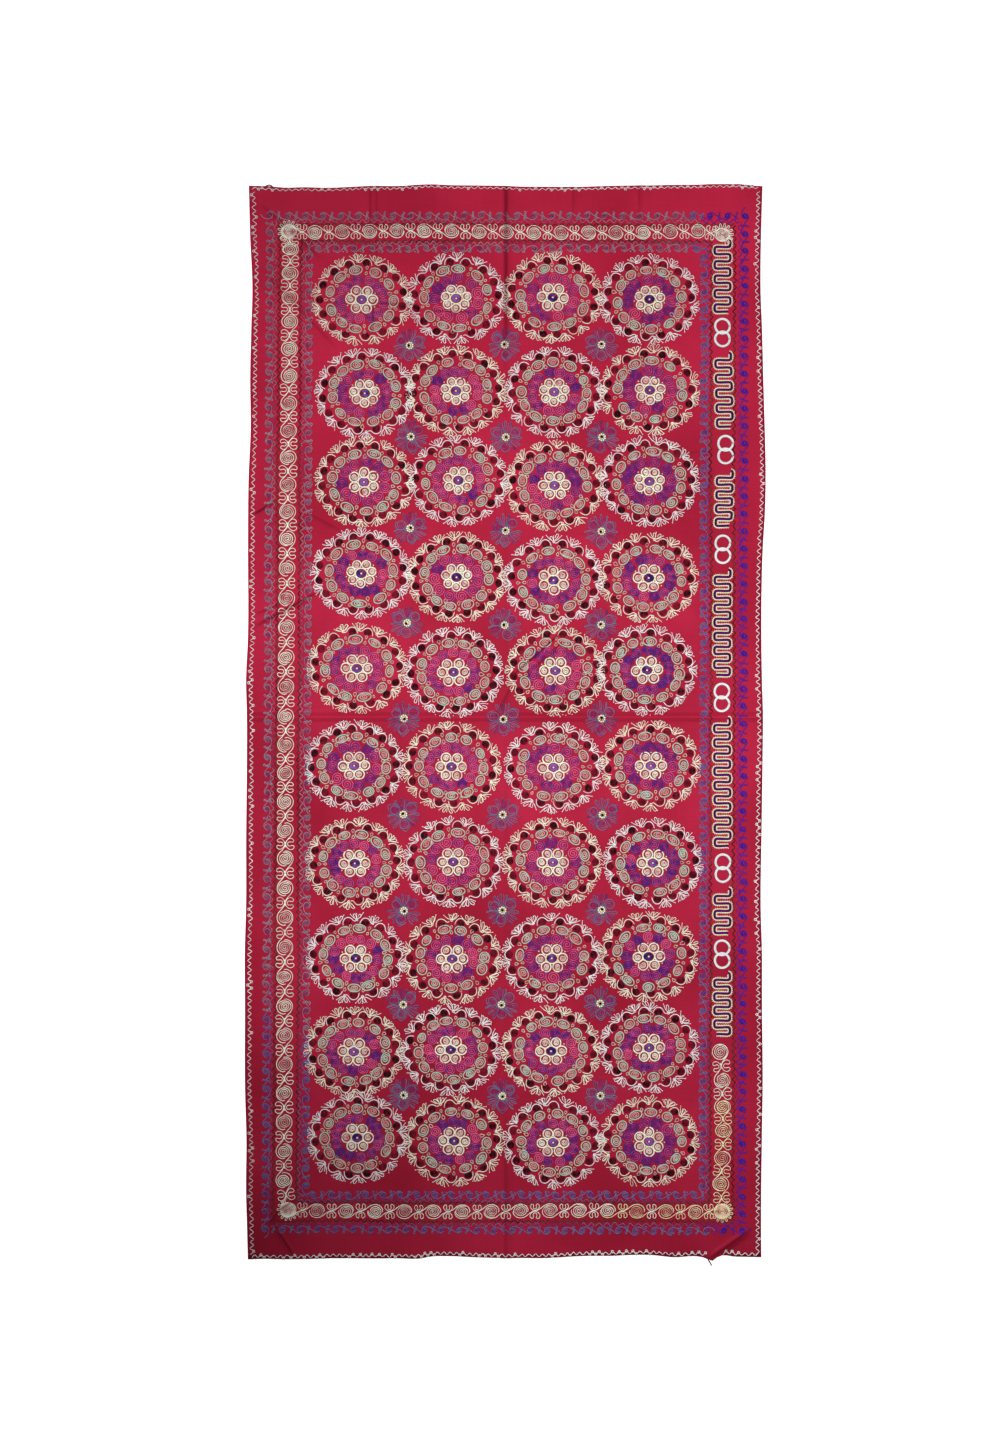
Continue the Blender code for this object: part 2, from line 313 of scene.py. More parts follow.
def makeMesh(name, points, faces, uvs, tones):
    # points are in millimetres, and faces are rows of four corners
    mesh = bpy.data.meshes.new(name)
    mesh.vertices.add(len(points))
    mesh.vertices.foreach_set("co", (points * mm).astype(np.float32).ravel())
    mesh.loops.add(len(faces) * 4)
    mesh.loops.foreach_set("vertex_index", faces.astype(np.int32).ravel())
    mesh.polygons.add(len(faces))
    mesh.polygons.foreach_set("loop_start", np.arange(0, len(faces) * 4, 4, dtype=np.int32))
    mesh.polygons.foreach_set("loop_total", np.full(len(faces), 4, np.int32))
    mesh.update(calc_edges=True)
    layer = mesh.uv_layers.new(name="stitches")
    layer.data.foreach_set("uv", uvs[faces.ravel()].astype(np.float32).ravel())
    pointValue(mesh, "tone", tones)
    pointValue(mesh, "crease", creaseShadeAndDirt(points[:, 0], points[:, 1]))
    bakeMap(mesh)
    mesh.shade_smooth()
    return mesh


def placePiece(name, mesh, material):
    piece = bpy.data.objects.new(name, mesh)
    bpy.context.scene.collection.objects.link(piece)
    mesh.materials.append(material)
    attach(piece, "root")
    return piece


# Node helpers for the materials

def addNode(tree, kind, inputs=None, **settings):
    node = tree.nodes.new(kind)
    for name, value in settings.items():
        setattr(node, name, value)
    for name, value in (inputs or {}).items():
        if isinstance(value, bpy.types.NodeSocket):
            tree.links.new(value, node.inputs[name])
        else:
            node.inputs[name].default_value = value
    return node


def maths(tree, operation, first, second=0.0, third=0.0):
    return addNode(tree, "ShaderNodeMath", {0: first, 1: second, 2: third}, operation=operation).outputs[0]


def ramp(tree, value, low, high, lowTo=0.0, highTo=1.0):
    return addNode(tree, "ShaderNodeMapRange", {
        "Value": value, "From Min": low, "From Max": high, "To Min": lowTo, "To Max": highTo}).outputs[0]


def blendColours(tree, share, first, second, way="MIX"):
    node = addNode(tree, "ShaderNodeMix", data_type="RGBA", blend_type=way)
    for socket, value in (("Factor_Float", share), ("A_Color", first), ("B_Color", second)):
        target = next(item for item in node.inputs if item.identifier == socket)
        if isinstance(value, bpy.types.NodeSocket):
            tree.links.new(value, target)
        else:
            target.default_value = value
    return next(item for item in node.outputs if item.identifier == "Result_Color")


def shadeBy(tree, colour, shade):
    grey = addNode(tree, "ShaderNodeCombineColor", {0: shade, 1: shade, 2: shade}).outputs[0]
    return blendColours(tree, 1.0, colour, grey, "MULTIPLY")


def newMaterial(name):
    material = bpy.data.materials.new(name)
    material.use_nodes = True
    tree = material.node_tree
    return material, tree, tree.nodes["Principled BSDF"]


def linear(red, green, blue):
    # A colour as seen on a screen, 0 to 255, as light
    shares = [channel / 255 for channel in (red, green, blue)]
    return tuple(((s + 0.055) / 1.055)**2.4 if s > 0.04 else s / 12.92 for s in shares) + (1,)


# Painted shade, the same for the ground and the threads: the left-hand corners are painted darker where the
# light falls off, and the creases are painted darker with shade and some dirt

paintedShadeAndDirt = {
    "corners": (   # places and reach in metres
        {"place": (-0.80, -1.62, 0.0), "reach": 0.95, "shade": 0.50},
        {"place": (-0.80, 1.62, 0.0), "reach": 0.80, "shade": 0.78},
    ),
    # colour of the painted crease shade and dirt
    "crease": (84, 2, 22),
    "near": 0.12,          # how far from a corner it is at its darkest, in metres
    "onThread": 0.8,       # share of the crease's painted shade and dirt on the stitches and on the ground
    "onGround": 0.9,
}


def paintShadeAndDirt(tree, place, colour, creaseShare):
    # Painted shade toward the left-hand corners, and painted shade with some dirt along the creases
    for corner in paintedShadeAndDirt["corners"]:
        away = addNode(tree, "ShaderNodeVectorMath", {0: place, 1: corner["place"]}, operation="DISTANCE")
        colour = shadeBy(tree, colour, ramp(tree, away.outputs["Value"], paintedShadeAndDirt["near"], corner["reach"],
                                            corner["shade"], 1.0))
    crease = addNode(tree, "ShaderNodeAttribute", attribute_name="crease").outputs["Fac"]
    share = maths(tree, "MULTIPLY", crease, creaseShare)
    return blendColours(tree, share, colour, linear(*paintedShadeAndDirt["crease"]))


# Thread: chain stitch, each link two strands that meet at its ends

thread = {
    "link": 4.2,           # length of one chain link
    "width": 3.4,
    "bed": 1.3,            # how much wider the row's ribbon is than its thread, the extra edge carrying the painted shadow beside it
    "rise": 0.9,           # how far a row stands over the cloth
    "sink": 0.12,          # how far its edges bed into the cloth
    "paintedBedShadow": (0.36, 0.62),   # shares of the half bed between which its painted shadow deepens
    # colour of the painted shadow beside each row
    "shadow": (60, 0, 14),
    "bump": 0.35,
    # painted highlight on rows that lie across the light
    "glint": 0.35,
    "roughness": 0.6,
    "sheen": 0.02,
    "shine": 0.06,
}


def threadMaterial(name, deep, bright):
    # deep and bright are the two ends of the dye's range, and each row of stitches has its own tone
    material, tree, shader = newMaterial(name)
    uv = addNode(tree, "ShaderNodeUVMap", uv_map="stitches").outputs["UV"]
    axes = addNode(tree, "ShaderNodeSeparateXYZ", {0: uv})
    along = maths(tree, "FRACT", axes.outputs["X"])
    across = maths(tree, "ABSOLUTE", maths(tree, "MULTIPLY_ADD", axes.outputs["Y"], 2.0, -1.0))
    loop = maths(tree, "MULTIPLY", maths(tree, "SINE", maths(tree, "MULTIPLY", along, math.pi)), 0.45)
    gap = maths(tree, "ABSOLUTE", maths(tree, "SUBTRACT", across, loop))
    strand = addNode(tree, "ShaderNodeClamp", {0: maths(tree, "MULTIPLY_ADD", gap, -2.2, 1.0)}).outputs[0]
    place = addNode(tree, "ShaderNodeNewGeometry").outputs["Position"]
    fibre = addNode(tree, "ShaderNodeTexNoise", {"Vector": place, "Scale": 900.0, "Detail": 2.0})
    wear = addNode(tree, "ShaderNodeTexNoise", {"Vector": place, "Scale": 60.0, "Detail": 2.0})
    tone = addNode(tree, "ShaderNodeAttribute", attribute_name="tone").outputs["Fac"]
    tone = maths(tree, "ADD", tone, maths(tree, "MULTIPLY_ADD", wear.outputs["Fac"], 1.6, -0.8))
    tone = addNode(tree, "ShaderNodeClamp", {0: tone}).outputs[0]
    dye = blendColours(tree, tone, linear(*deep), linear(*bright))
    # Painted shade in the gaps between each link's two strands, and painted highlight on the strands
    shade = maths(tree, "MULTIPLY", ramp(tree, strand, 0.0, 0.8, 0.72, 1.08),
                  maths(tree, "MULTIPLY_ADD", fibre.outputs["Fac"], 0.3, 0.85))
    dye = shadeBy(tree, dye, shade)
    # Painted shadow along the edges of each row
    paintedBedShadow = ramp(tree, across, *thread["paintedBedShadow"], 0.0, 0.9)
    dye = blendColours(tree, paintedBedShadow, dye, linear(*thread["shadow"]))
    tree.links.new(paintShadeAndDirt(tree, place, dye, paintedShadeAndDirt["onThread"]), shader.inputs["Base Color"])
    height = maths(tree, "ADD", strand, maths(tree, "MULTIPLY", fibre.outputs["Fac"], 0.25))
    bump = addNode(tree, "ShaderNodeBump", {
        "Height": height, "Strength": 0.6, "Distance": thread["bump"] * mm})
    tree.links.new(bump.outputs["Normal"], shader.inputs["Normal"])
    shader.inputs["Roughness"].default_value = thread["roughness"]
    shader.inputs["Sheen Weight"].default_value = thread["sheen"]
    shader.inputs["Specular IOR Level"].default_value = thread["shine"]
    material.diffuse_color = linear(*bright)
    return material


threadColours = {
    "hemZigzag": {"deep": (226, 186, 190), "bright": (255, 250, 248)},
    "looseThreads": {"deep": (44, 66, 76), "bright": (96, 52, 62)},
    "greyVines": {"deep": (136, 54, 112), "bright": (156, 158, 178)},
    "violetVines": {"deep": (28, 36, 184), "bright": (112, 40, 160)},
    "blueVines": {"deep": (120, 56, 136), "bright": (114, 122, 180)},
    "oliveZigzags": {"deep": (34, 32, 20), "bright": (92, 64, 34)},
    "yellowDiscs": {"deep": (206, 128, 118), "bright": (255, 240, 194)},
    "borderDiscs": {"deep": (204, 136, 138), "bright": (255, 248, 230)},
    "whiteRings": {"deep": (236, 236, 238), "bright": (252, 252, 252)},
    "serpentCores": {"deep": (34, 6, 88), "bright": (104, 10, 110)},
    "serpentEdges": {"deep": (232, 210, 160), "bright": (250, 242, 208)},
    "creamPetals": {"deep": (216, 142, 142), "bright": (255, 248, 228)},
    "violetEyes": {"deep": (40, 18, 100), "bright": (150, 88, 176)},
    "purpleRings": {"deep": (92, 40, 138), "bright": (234, 88, 134)},
    "sageRings": {"deep": (222, 142, 142), "bright": (190, 212, 194)},
    "sageTendrils": {"deep": (188, 150, 138), "bright": (240, 222, 198)},
    "maroonDots": {"deep": (24, 2, 10), "bright": (150, 20, 48)},
    "creamSprigs": {"deep": (226, 176, 160), "bright": (255, 254, 232)},
    "whiteSprigs": {"deep": (228, 180, 194), "bright": (255, 255, 255)},
    "blueFlowers": {"deep": (84, 50, 126), "bright": (92, 132, 176)},
    "flowerStars": {"deep": (240, 220, 156), "bright": (255, 250, 216)},
}
stitchWork = {
    name: {"points": [], "faces": [], "uvs": [], "tones": [], "count": 0} for name in threadColours
}


def keepStitches(name, points, faces, uvs, tone):
    work = stitchWork[name]
    work["points"].append(points)
    work["faces"].append(faces + work["count"])
    work["uvs"].append(uvs)
    work["tones"].append(tone + np.zeros(len(points)))
    work["count"] += len(points)


def stitchRow(name, path, width=None, tone=None, rise=None):
    # One row of chain stitch along a path: a low ridge with its edges bedded in the cloth
    path = np.asarray(path, float)
    width = width or thread["width"]
    rise = rise or thread["rise"]
    tone = hand.random() if tone is None else tone
    heading = np.gradient(path, axis=0)
    heading /= np.maximum(np.hypot(heading[:, 0], heading[:, 1]), 1e-6)[:, None]
    side = np.stack([-heading[:, 1], heading[:, 0]], axis=1)
    half = np.full(len(path), width / 2 * thread["bed"])
    crest = np.full(len(path), rise)
    half[[0, -1]] *= 0.55
    crest[[0, -1]] *= 0.3
    count = len(path)
    points = np.zeros((count, 3, 3))
    points[:, 0, :2] = path + side * half[:, None]
    points[:, 1, :2] = path
    points[:, 2, :2] = path - side * half[:, None]
    points[:, (0, 2), 2] = -thread["sink"]
    points[:, 1, 2] = crest
    steps = np.hypot(*np.diff(path, axis=0).T)
    run = np.concatenate([[0], np.cumsum(steps)]) / thread["link"]
    uvs = np.zeros((count, 3, 2))
    uvs[:, :, 0] = run[:, None]
    uvs[:, :, 1] = (0.0, 0.5, 1.0)
    first = np.arange(count - 1)[:, None] * 3
    leftFaces = first + np.array([0, 1, 4, 3])
    rightFaces = first + np.array([1, 2, 5, 4])
    faces = np.concatenate([leftFaces, rightFaces])
    # Painted highlight: the thread's tone is raised where a row lies across the light, which comes down the
    # cloth, and lowered where it runs along it
    tone = tone + thread["glint"] * (np.abs(heading[:, 0]) - 0.6)
    keepStitches(name, points.reshape(-1, 3), faces, uvs.reshape(-1, 2), np.repeat(tone, 3))


ringTurn = np.linspace(0, 2 * math.pi, 9)[:-1]


def stitchKnot(name, x, y, radius, tone=None, rise=1.3):
    # A small knot: a low dome of eight sides
    tone = hand.random() if tone is None else tone
    points = np.zeros((9, 3))
    points[0] = (x, y, rise)
    points[1:, 0] = x + radius * np.cos(ringTurn)
    points[1:, 1] = y + radius * np.sin(ringTurn)
    points[1:, 2] = -thread["sink"]
    faces = np.array([[0, 1, 2, 3], [0, 3, 4, 5], [0, 5, 6, 7], [0, 7, 8, 1]])
    uvs = np.zeros((9, 2))
    uvs[0] = (0.5, 0.5)
    uvs[1:, 0] = 0.5
    uvs[1:, 1] = 0.1
    keepStitches(name, points, faces, uvs, tone)


def wobble(amount):
    return float(hand.normal(0, amount))


def spiralPath(x, y, radius, turns, start=0.0, squash=1.0, lean=0.0, way=1, inner=1.6, steps=12):
    # From the rim inwards; squash flattens it across lean, the direction of its long side
    count = max(int(turns * steps), 5)
    share = np.linspace(0, 1, count)
    angle = start + way * share * turns * 2 * math.pi
    reach = radius + (inner - radius) * share
    reach = reach * (1 + 0.035 * np.sin(angle * 2.3 + x))
    u, v = reach * np.cos(angle), reach * np.sin(angle) * squash
    return np.stack([x + u * math.cos(lean) - v * math.sin(lean),
                     y + u * math.sin(lean) + v * math.cos(lean)], axis=1)


def smoothPath(corners, steps=4):
    # A smooth curve through a few given points
    p = np.asarray(corners, float)
    p = np.vstack([2 * p[0] - p[1], p, 2 * p[-1] - p[-2]])
    t = np.linspace(0, 1, steps, endpoint=False)[:, None]
    parts = []
    for a, b, c, d in zip(p[:-3], p[1:-2], p[2:-1], p[3:]):
        parts.append(0.5 * (2 * b + (c - a) * t + (2 * a - 5 * b + 4 * c - d) * t**2
                            + (3 * b - a - 3 * c + d) * t**3))
    return np.vstack(parts + [p[-2:-1]])


def placed(local, x, y, turn=0.0, scale=1.0):
    # Local points turned, scaled and moved to their place
    local = np.asarray(local, float) * scale
    cosine, sine = math.cos(turn), math.sin(turn)
    return np.stack([x + local[:, 0] * cosine - local[:, 1] * sine,
                     y + local[:, 0] * sine + local[:, 1] * cosine], axis=1)


# Sateen: the ground's dye, weave, fading and wear, with painted shade toward the foot, the left-hand corners
# and the creases

sateen = {
    "deep": (166, 26, 53),
    "bright": (195, 37, 70),
    "roughness": 0.6,
    "sheen": 0.02,
    "shine": 0.04,
    "weave": 150.0,
    "footShade": 0.75,     # painted shade: the ground alone is painted darker toward the foot and lighter at the head
    "headShade": 1.06,
}


def sateenMaterial():
    material, tree, shader = newMaterial("crimson sateen")
    place = addNode(tree, "ShaderNodeNewGeometry").outputs["Position"]
    fading = addNode(tree, "ShaderNodeTexNoise", {"Vector": place, "Scale": 2.2, "Detail": 4.0})
    warpPlace = addNode(tree, "ShaderNodeMapping", {"Vector": place, "Scale": (520.0, 14.0, 60.0)})
    warp = addNode(tree, "ShaderNodeTexNoise", {"Vector": warpPlace.outputs[0], "Scale": 1.0, "Detail": 2.0})
    weftPlace = addNode(tree, "ShaderNodeMapping", {"Vector": place, "Scale": (12.0, 460.0, 60.0)})
    weft = addNode(tree, "ShaderNodeTexNoise", {"Vector": weftPlace.outputs[0], "Scale": 1.0, "Detail": 2.0})
    dye = blendColours(tree, ramp(tree, fading.outputs["Fac"], 0.34, 0.66),
                       linear(*sateen["deep"]), linear(*sateen["bright"]))
    slub = maths(tree, "ADD", warp.outputs["Fac"], weft.outputs["Fac"])
    dye = shadeBy(tree, dye, maths(tree, "MULTIPLY_ADD", slub, 0.2, 0.8))
    # Painted shade and light: the ground darker toward the foot and lighter at the head
    upward = addNode(tree, "ShaderNodeSeparateXYZ", {0: place}).outputs["Y"]
    dye = shadeBy(tree, dye, ramp(tree, upward, -1.5, 1.5, sateen["footShade"], sateen["headShade"]))
    tree.links.new(paintShadeAndDirt(tree, place, dye, paintedShadeAndDirt["onGround"]), shader.inputs["Base Color"])
    floats = addNode(tree, "ShaderNodeTexWave", {
        "Vector": place, "Scale": sateen["weave"], "Distortion": 3.0, "Detail": 2.0},
        wave_type="BANDS", bands_direction="DIAGONAL")
    height = maths(tree, "ADD", slub, maths(tree, "MULTIPLY", floats.outputs["Fac"], 0.25))
    bump = addNode(tree, "ShaderNodeBump", {"Height": height, "Strength": 0.5, "Distance": 0.25 * mm})
    tree.links.new(bump.outputs["Normal"], shader.inputs["Normal"])
    shader.inputs["Roughness"].default_value = sateen["roughness"]
    shader.inputs["Sheen Weight"].default_value = sateen["sheen"]
    shader.inputs["Sheen Tint"].default_value = linear(220, 60, 90)
    shader.inputs["Specular IOR Level"].default_value = sateen["shine"]
    material.diffuse_color = linear(*sateen["bright"])
    return material


def makeCloth():
    for point in sheet.verts:
        point.co *= mm
    mesh = bpy.data.meshes.new("sateenGround")
    sheet.to_mesh(mesh)
    places = np.zeros(len(mesh.vertices) * 3, np.float32)
    mesh.vertices.foreach_get("co", places)
    places = places.reshape(-1, 3) / mm
    pointValue(mesh, "crease", creaseShadeAndDirt(places[:, 0], places[:, 1]))
    bakeMap(mesh)
    mesh.shade_smooth()
    piece = placePiece("sateenGround", mesh, sateenMaterial())
    body = piece.modifiers.new("sateen thickness", "SOLIDIFY")
    body.thickness = cloth["thickness"] * mm
    body.offset = 1
    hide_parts("cloth")
    return piece


# Medallions: four across and ten down, each worked by hand and a little different

medallionRows = [   # one row has its flower turned so that a single petal points up
    {"across": (-420, -143, 140, 423), "up": (1240, 1244, 1247, 1241), "petals": (6, 7, 6, 7), "single": ()},
    {"across": (-411, -144, 144, 424), "up": (966, 973, 970, 975), "petals": (7, 7, 7, 7), "single": ()},
    {"across": (-413, -137, 145, 423), "up": (706, 711, 696, 708), "petals": (6, 7, 6, 7), "single": (0,)},
    {"across": (-421, -142, 142, 421), "up": (438, 427, 418, 425), "petals": (7, 7, 6, 6), "single": (2,)},
    {"across": (-434, -151, 147, 416), "up": (160, 149, 153, 155), "petals": (6, 6, 6, 6), "single": ()},
    {"across": (-442, -157, 142, 427), "up": (-125, -128, -130, -125), "petals": (6, 6, 6, 6), "single": ()},
    {"across": (-440, -152, 140, 433), "up": (-411, -407, -408, -410), "petals": (6, 6, 6, 6), "single": ()},
    {"across": (-437, -155, 137, 421), "up": (-689, -691, -689, -684), "petals": (6, 6, 6, 6), "single": ()},
    {"across": (-443, -159, 135, 422), "up": (-963, -957, -961, -951), "petals": (6, 6, 6, 6), "single": ()},
    {"across": (-433, -149, 141, 422), "up": (-1215, -1224, -1229, -1226), "petals": (6, 6, 6, 6),
     "single": (3,)},
]

medallion = {   # pairs are half widths and half heights
    "dot": 3.8,
    "eye": (14.6, 12.6),
    "eyeRing": (17.3, 15.3),
    "petalRing": (31.8, 28.4),
    "petalSize": {6: 15.0, 7: 13.2},
    "notchRing": (45.0, 39.0),
    "purpleRing": (65.0, 57.0),
    "purpleSize": 18.0,
    "purpleCount": 12,
    "sageRing": (95.0, 86.5),
    "sageSize": (17.2, 15.0),
    "sageCount": 12,
    "dotRing": (123.5, 107.5),
    "dotSize": (12.5, 10.5),
    "rootRing": (127.0, 113.5),
    "fingers": 6,
    "fingerLength": 18.5,
    "fingerSpread": 1.1,
}


def clipped(tone):
    return float(min(max(tone, 0), 1))


def onRing(x, y, ring, angle, away=0.0):
    # A point on an oval ring, moved away millimetres further out, and the direction outwards there
    outward = math.atan2(ring[0] * math.sin(angle), ring[1] * math.cos(angle))
    return (x + ring[0] * math.cos(angle) + away * math.cos(outward),
            y + ring[1] * math.sin(angle) + away * math.sin(outward), outward)


def ringPath(x, y, wide, high, steps=18, start=0.0):
    turn = np.linspace(0, 2 * math.pi, steps + 1) + start
    return np.stack([x + wide * np.cos(turn), y + high * np.sin(turn)], axis=1)


def makeEye(x, y):
    size = medallion
    wide, high = size["eye"]
    stitchRow("violetEyes", spiralPath(x, y, wide - 1.6, 2.6, hand.random() * 6, high / wide,
                                       inner=5.6, steps=14), 4.2)
    stitchKnot("flowerStars", x, y, size["dot"], 1.0)
    stitchRow("flowerStars", ringPath(x, y, *size["eyeRing"], 20), 4.2, 0.75)


def makePetals(x, y, count, single):
    size = medallion
    radius = size["petalSize"][count]
    start = math.pi / 2 + (0 if single else math.pi / count) + wobble(0.03)
    for index in range(count):
        angle = start + (index + wobble(0.03)) * 2 * math.pi / count
        px, py, outward = onRing(x, y, size["petalRing"], angle, wobble(0.5))
        wide, high = radius * (0.95 + wobble(0.03)), radius * (0.95 + wobble(0.03))
        tone = 0.8 + wobble(0.12)
        stitchRow("creamPetals", ringPath(px, py, wide, high, 18, outward), 5.3, clipped(tone + 0.1))
        path = spiralPath(px, py, radius * 0.64, 1.9, outward + hand.random() * 2, 0.95, outward,
                          hand.choice((-1, 1)), 1.4, 12)
        stitchRow("creamPetals", path, 4.8, clipped(tone - 0.3))
        nx, ny, outward = onRing(x, y, size["notchRing"], angle + math.pi / count)
        if hand.random() < 0.75:
            stitchKnot("creamPetals", nx, ny, 2.8, 0.7)


def makePurpleRing(x, y, tone):
    size = medallion
    count = size["purpleCount"] + int(hand.integers(-1, 2))
    start = hand.random()
    for index in range(count):
        angle = start + (index + wobble(0.06)) * 2 * math.pi / count
        px, py, outward = onRing(x, y, size["purpleRing"], angle, wobble(1.2))
        radius = size["purpleSize"] * 12 / count + wobble(0.5)
        stitchRow("purpleRings", spiralPath(px, py, radius, 2.8, hand.random() * 6, 0.97, outward,
                                            hand.choice((-1, 1)), 1.6, 14),
                  4.4, clipped(tone + wobble(0.3)))


tearLoop = [(-1, 3), (2.4, 7.5), (4.6, 12), (2.6, 16), (-1.6, 16), (-4.4, 12.4), (-2.6, 7.5), (0.5, 3)]


def makeSageRing(x, y, tone):
    size = medallion
    count = size["sageCount"] + int(hand.integers(-1, 1))
    start = hand.random()
    for index in range(count):
        angle = start + (index + wobble(0.07)) * 2 * math.pi / count
        px, py, outward = onRing(x, y, size["sageRing"], angle, wobble(1.0))
        upright = abs(math.sin(outward))
        longSide = (size["sageSize"][0] + 2.5 * upright) * math.sqrt(12 / count) * (1 + wobble(0.06))
        shortSide = (size["sageSize"][1] - 1.5 * upright) * (1 + wobble(0.06))
        lean = outward + math.pi / 2
        rim = ringPath(0, 0, longSide - 1.6, shortSide - 1.6, 20)
        stitchRow("sageRings", placed(rim, px, py, lean), 4.1, clipped(tone + 0.5 + wobble(0.15)))
        inside = spiralPath(px, py, longSide * 0.68, 2.1, hand.random() * 6, shortSide / longSide, lean,
                            hand.choice((-1, 1)), 1.6, 13)
        stitchRow("sageRings", inside, 4.3, clipped(tone - 0.2 + wobble(0.25)))
        for sign in (-1, 1):
            tx, ty, out = onRing(x, y, size["sageRing"], angle + math.pi / count)
            loop = np.array(tearLoop) * (0.85 + wobble(0.1))
            stitchRow("sageTendrils", placed(smoothPath(loop, 2), tx, ty, out - math.pi / 2 * sign), 2.3,
                      clipped(tone + 0.1 + wobble(0.2)))


dotArc = [(-16, -7), (-15, 0), (-11.5, 8), (-4.5, 13.2), (4.5, 13.2), (11.5, 8.4), (15.5, 3), (20, 0),
          (25, 1)]


def makeFringe(x, y, name):
    # Dark dots, each with an arc over it, and coral-like sprigs rooted between them
    size = medallion
    count = 15 + int(hand.random() < 0.35)
    start = hand.random()
    flip = hand.choice((-1, 1))
    for index in range(count):
        angle = start + (index + wobble(0.05)) * 2 * math.pi / count
        dx, dy, outward = onRing(x, y, size["dotRing"], angle, wobble(0.7))
        wide, high = size["dotSize"]
        stitchRow("maroonDots", spiralPath(dx, dy, wide - 1.9, 2.3, hand.random() * 6, high / wide,
                                           outward + math.pi / 2, 1, 1.2, 10), 5.4, 0.6 * hand.random())
        hug = np.array(dotArc) * (flip * 15 / count, 1)
        stitchRow(name, placed(smoothPath(hug, 2), dx, dy, outward - math.pi / 2), 2.9,
                  clipped(0.85 + wobble(0.2)))
        rootX, rootY, outward = onRing(x, y, size["rootRing"], angle + math.pi / count)
        makeSprig(rootX, rootY, outward, name)


def makeSprig(x, y, outward, name):
    # Fingers spread from a root: some are single rows with a knot, some are narrow open loops
    size = medallion
    fingers = size["fingers"] + int(hand.integers(-1, 2))
    tone = 0.95 + wobble(0.15)
    stitchRow(name, ringPath(x, y, 3.3, 3.3, 8), 2.9, 1.0)
    for index in range(fingers):
        share = 2 * index / (fingers - 1) - 1
        angle = share * size["fingerSpread"] + wobble(0.07)
        length = (size["fingerLength"] + 6 * share * share) * (1 + wobble(0.1))
        bend = -share * 0.42
        if index % 2 and abs(share) < 0.9:
            local = [(3, -0.5), (length * 0.5, -2.6), (length * 0.85, -3.6), (length * 1.08, -1.2),
                     (length * 1.04, 2.8), (length * 0.8, 3.6), (length * 0.48, 2.2)]
            path = placed(smoothPath(local, 2), x, y, outward + angle)
            stitchRow(name, path, 2.4, clipped(tone + wobble(0.15)))
            continue
        local = [(0, 0), (length * 0.5, length * 0.5 * bend * 0.6), (length, length * bend)]
        path = placed(local, x, y, outward + angle - bend * 0.6)
        stitchRow(name, path, 2.9, clipped(tone + wobble(0.15)))
        stitchKnot(name, *path[-1], 2.0, 1.0)


for rowIndex, row in enumerate(medallionRows):
    for columnIndex in range(4):
        centreX, centreY = row["across"][columnIndex], row["up"][columnIndex]
        even = (rowIndex + columnIndex) % 2 == 0
        makeEye(centreX, centreY)
        makePetals(centreX, centreY, row["petals"][columnIndex], columnIndex in row["single"])
        makePurpleRing(centreX, centreY, (0.5, 0.62, 0.5, 0.3)[columnIndex])
        makeSageRing(centreX, centreY, 0.35 + 0.3 * hand.random())
        makeFringe(centreX, centreY, "creamSprigs" if even else "whiteSprigs")
print("medallions done")


# Blue flowers between the medallions: three big spirals, and a fan of fingers between each two

flower = {
    "star": 12.6,
    "starPetals": 9,
    "spiralRing": 28.0,
    "spiralSize": 17.6,
    "spiralAngles": (-92, 34, 154),
    "fanReach": 49.0,
    "fanFingers": 5,
}


def makeFlower(x, y, tone):
    size = flower
    for index in range(size["starPetals"]):
        angle = (index + 0.5) * 2 * math.pi / size["starPetals"]
        reach = size["star"] * 0.72
        if index % 3 != 2:
            stitchKnot("blueFlowers", x + size["star"] * 1.1 * math.cos(angle + 0.35),
                       y + size["star"] * 1.1 * math.sin(angle + 0.35), 3.8, 0.9, 0.8)
        stitchKnot("flowerStars", x + reach * math.cos(angle), y + reach * math.sin(angle), 4.2, 0.8)
    stitchKnot("flowerStars", x, y, 8.4, 0.8)
    stitchKnot("maroonDots", x + wobble(0.8), y + wobble(0.8), 5.6, -0.6, 3.4)
    for index, degrees in enumerate(size["spiralAngles"]):
        angle = math.radians(degrees) + wobble(0.12)
        reach = size["spiralRing"] + wobble(1.5)
        px, py = x + reach * math.cos(angle), y + reach * math.sin(angle)
        radius = size["spiralSize"] + wobble(1.0)
        rowTone = clipped(tone + wobble(0.2))
        coil = spiralPath(px, py, radius, 2.7, angle + math.pi, 0.96, angle, hand.choice((-1, 1)), 2.0, 15)
        stitchRow("blueFlowers", coil[:19], 2.5, clipped(rowTone + 0.25))
        stitchRow("blueFlowers", coil[18:], 2.3, clipped(rowTone - 0.4))
        if hand.random() < 0.6:
            tip = [(radius * 0.3, -radius * 0.95), (radius * 0.9, -8), (radius * 1.25, 0), (radius * 0.9, 8),
                   (radius * 0.3, radius * 0.95)]
            stitchRow("blueFlowers", placed(smoothPath(tip, 3), px, py, angle), 2.2, rowTone)
        after = math.radians(size["spiralAngles"][(index + 1) % 3] + (360 if index == 2 else 0))
        middle = (angle + after) / 2
        for finger in range(size["fanFingers"]):
            lean = finger - (size["fanFingers"] - 1) / 2
            reach = size["fanReach"] - 2.4 * abs(lean) + wobble(1.5)
            fingerTone = clipped(tone + wobble(0.3))
            local = [(13, lean * 2), (24, lean * 6), (33, lean * 8.8 + 2.0), (reach - 3, lean * 9.2 + 2.4),
                     (reach, lean * 9), (reach - 5, lean * 8.4 - 2.4), (28, lean * 6.8 - 1.6)]
            if finger % 2:
                local = [(13, lean * 2), (24, lean * 6.2), (35, lean * 9), (reach - 3, lean * 9)]
            stitchRow("blueFlowers", placed(smoothPath(local, 2), x, y, middle), 2.2, fingerTone)


